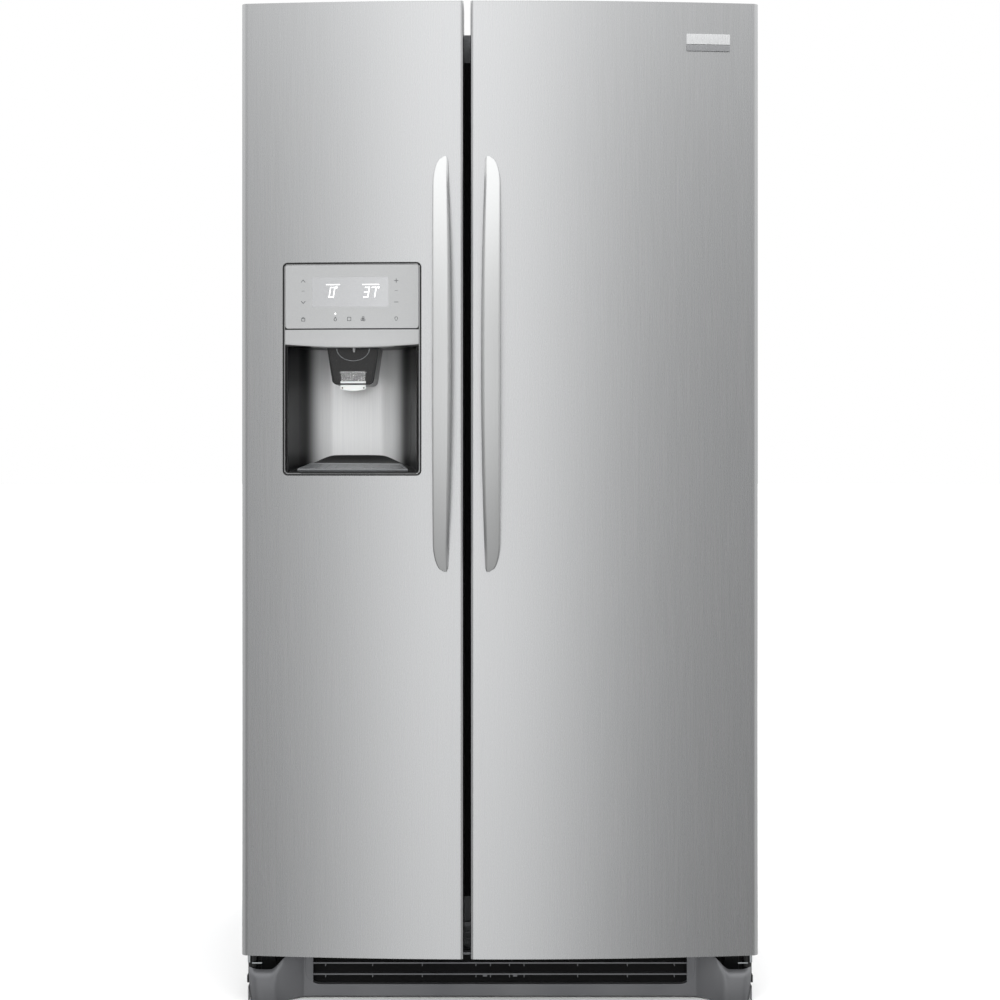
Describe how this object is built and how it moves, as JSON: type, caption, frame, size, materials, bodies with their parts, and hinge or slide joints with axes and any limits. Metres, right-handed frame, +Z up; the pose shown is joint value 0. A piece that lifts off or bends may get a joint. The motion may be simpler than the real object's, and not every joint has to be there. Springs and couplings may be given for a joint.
{
  "type": "side by side refrigerator",
  "caption": "Upright refrigerator with a freezer door and a wider fresh food door side by side, bowed handles and an ice and water dispenser in the freezer door.",
  "frame": {"origin": "on the floor, under the middle of the whole object's box", "axes": "+X right when facing the doors, +Y from the doors to the back, +Z up"},
  "size_m": [0.914, 0.881, 1.774],
  "materials": {
    "stainless": "fine vertical brushing, satin",
    "handle_steel": "satin",
    "case_paint": "fine textured dark grey enamel",
    "zinc": "zinc plated",
    "white_plastic": "vacuum formed, semi gloss",
    "foamed_door": "white formed liner over foam",
    "foam": "rigid foam",
    "clear_plastic": "clear moulded",
    "dark_plastic": "dark metallic grey moulded",
    "silver_plastic": "silver lacquered",
    "black_plastic": "black, semi gloss",
    "rubber": "matt",
    "shelf_glass": "clear pane in a white rim",
    "black_steel": "black enamel",
    "cast_shell": "black enamelled pressed shell",
    "bare_aluminium": "bare"
  },
  "bodies": {
    "cabinet": {"case_wrapper": "case_paint", "back_panel": "zinc", "foam_insulation": "foam", "freezer_liner": "white_plastic", "fridge_liner": "white_plastic", "mullion_cover": "dark_plastic", "base_frame": "zinc", "kick_plate": "dark_plastic", "rear_cover": "black_steel", "cord_gland": "black_plastic", "upper_hinge_left": "zinc", "upper_hinge_right": "zinc", "lower_hinge_left": "zinc", "lower_hinge_right": "zinc", "hinge_cover_left": "dark_plastic", "hinge_cover_right": "dark_plastic", "compressor": "cast_shell", "condenser": "black_steel", "drain_pan": "dark_plastic", "evaporator_cover": "white_plastic", "evaporator": "bare_aluminium", "ice_maker": "white_plastic", "freezer_shelf_upper": "shelf_glass", "freezer_shelf_lower": "shelf_glass", "glass_shelf_upper": "shelf_glass", "glass_shelf_middle": "shelf_glass", "crisper_cover": "shelf_glass", "control_housing": "white_plastic"},
    "freezer_door": {"freezer_door_skin": "stainless", "freezer_door_liner": "foamed_door", "freezer_door_gasket": "rubber", "freezer_handle": "handle_steel", "dispenser_housing": "silver_plastic", "control_panel": "silver_plastic", "chute_hood": "black_plastic", "freezer_bin_upper": "clear_plastic", "freezer_bin_lower": "clear_plastic"},
    "fridge_door": {"fridge_door_skin": "stainless", "fridge_door_liner": "foamed_door", "fridge_door_gasket": "rubber", "fridge_handle": "handle_steel", "badge": "silver_plastic", "fridge_bin_lower": "clear_plastic", "fridge_bin_upper": "clear_plastic", "dairy_bin": "clear_plastic"},
    "dispenser_paddle": {"dispenser_paddle": "clear_plastic"},
    "ice_flap": {"ice_flap": "black_plastic"},
    "drip_tray": {"drip_tray": "dark_plastic"},
    "crisper_upper": {"crisper_upper": "clear_plastic"},
    "crisper_lower": {"crisper_lower": "clear_plastic"},
    "freezer_basket": {"freezer_basket": "white_plastic"},
    "dairy_cover": {"dairy_cover": "clear_plastic"},
    "ice_bucket": {"ice_bucket": "clear_plastic"},
    "ice_auger": {"ice_auger": "zinc"},
    "condenser_fan": {"condenser_fan": "black_plastic"},
    "evaporator_fan": {"evaporator_fan": "white_plastic"},
    "levelling_leg_left": {"levelling_leg_left": "black_plastic"},
    "levelling_leg_right": {"levelling_leg_right": "black_plastic"},
    "rear_roller_left": {"rear_roller_left": "black_plastic"},
    "rear_roller_right": {"rear_roller_right": "black_plastic"}
  },
  "joints": [
    {"name": "freezer_door_hinge", "type": "hinge", "parent": "cabinet", "child": "freezer_door", "pos_m": [-0.44, -0.3325, 0.927], "axis": [0, 0, -1], "range_deg": [0, 125]},
    {"name": "fridge_door_hinge", "type": "hinge", "parent": "cabinet", "child": "fridge_door", "pos_m": [0.44, -0.3325, 0.927], "axis": [0, 0, 1], "range_deg": [0, 125]},
    {"name": "paddle_pivot", "type": "hinge", "parent": "freezer_door", "child": "dispenser_paddle", "pos_m": [-0.26065, -0.34769, 1.117], "axis": [1, 0, 0], "range_deg": [0, 22], "stiffness_Nm_per_rad": 0.05, "springref_deg": -11.46},
    {"name": "ice_flap_pivot", "type": "hinge", "parent": "freezer_door", "child": "ice_flap", "pos_m": [-0.26065, -0.28869, 1.138], "axis": [1, 0, 0], "range_deg": [0, 55]},
    {"name": "drip_tray_lift", "type": "slide", "parent": "freezer_door", "child": "drip_tray", "axis": [0, 0, 1], "range_m": [0, 0.04]},
    {"name": "crisper_upper_slide", "type": "slide", "parent": "cabinet", "child": "crisper_upper", "axis": [0, -1, 0], "range_m": [0, 0.1]},
    {"name": "crisper_lower_slide", "type": "slide", "parent": "cabinet", "child": "crisper_lower", "axis": [0, -1, 0], "range_m": [0, 0.1]},
    {"name": "freezer_basket_slide", "type": "slide", "parent": "cabinet", "child": "freezer_basket", "axis": [0, -1, 0], "range_m": [0, 0.1]},
    {"name": "dairy_cover_pivot", "type": "hinge", "parent": "fridge_door", "child": "dairy_cover", "pos_m": [0, -0.2805, 1.56], "axis": [1, 0, 0], "range_deg": [0, 70]},
    {"name": "ice_bucket_slide", "type": "slide", "parent": "cabinet", "child": "ice_bucket", "axis": [0, -1, 0], "range_m": [0, 0.035]},
    {"name": "ice_auger_spin", "type": "hinge", "parent": "ice_bucket", "child": "ice_auger", "pos_m": [-0.26065, 0.0515, 1.3093], "axis": [0, 1, 0], "continuous": true},
    {"name": "condenser_fan_spin", "type": "hinge", "parent": "cabinet", "child": "condenser_fan", "pos_m": [0.185, 0.3555, 0.19], "axis": [0, 1, 0], "continuous": true},
    {"name": "evaporator_fan_spin", "type": "hinge", "parent": "cabinet", "child": "evaporator_fan", "pos_m": [-0.242, 0.3325, 1.15], "axis": [0, 1, 0], "continuous": true},
    {"name": "levelling_screw_left", "type": "hinge", "parent": "cabinet", "child": "levelling_leg_left", "pos_m": [-0.41, -0.2605, 0.05], "axis": [0, 0, 1], "continuous": true},
    {"name": "levelling_screw_right", "type": "hinge", "parent": "cabinet", "child": "levelling_leg_right", "pos_m": [0.41, -0.2605, 0.05], "axis": [0, 0, 1], "continuous": true},
    {"name": "rear_roller_left_spin", "type": "hinge", "parent": "cabinet", "child": "rear_roller_left", "pos_m": [-0.385, 0.3555, 0.022], "axis": [1, 0, 0], "continuous": true},
    {"name": "rear_roller_right_spin", "type": "hinge", "parent": "cabinet", "child": "rear_roller_right", "pos_m": [0.385, 0.3555, 0.022], "axis": [1, 0, 0], "continuous": true}
  ],
  "couplings": [
    {"joint": "ice_flap_pivot", "follows": "paddle_pivot", "ratio": 2.5}
  ]
}
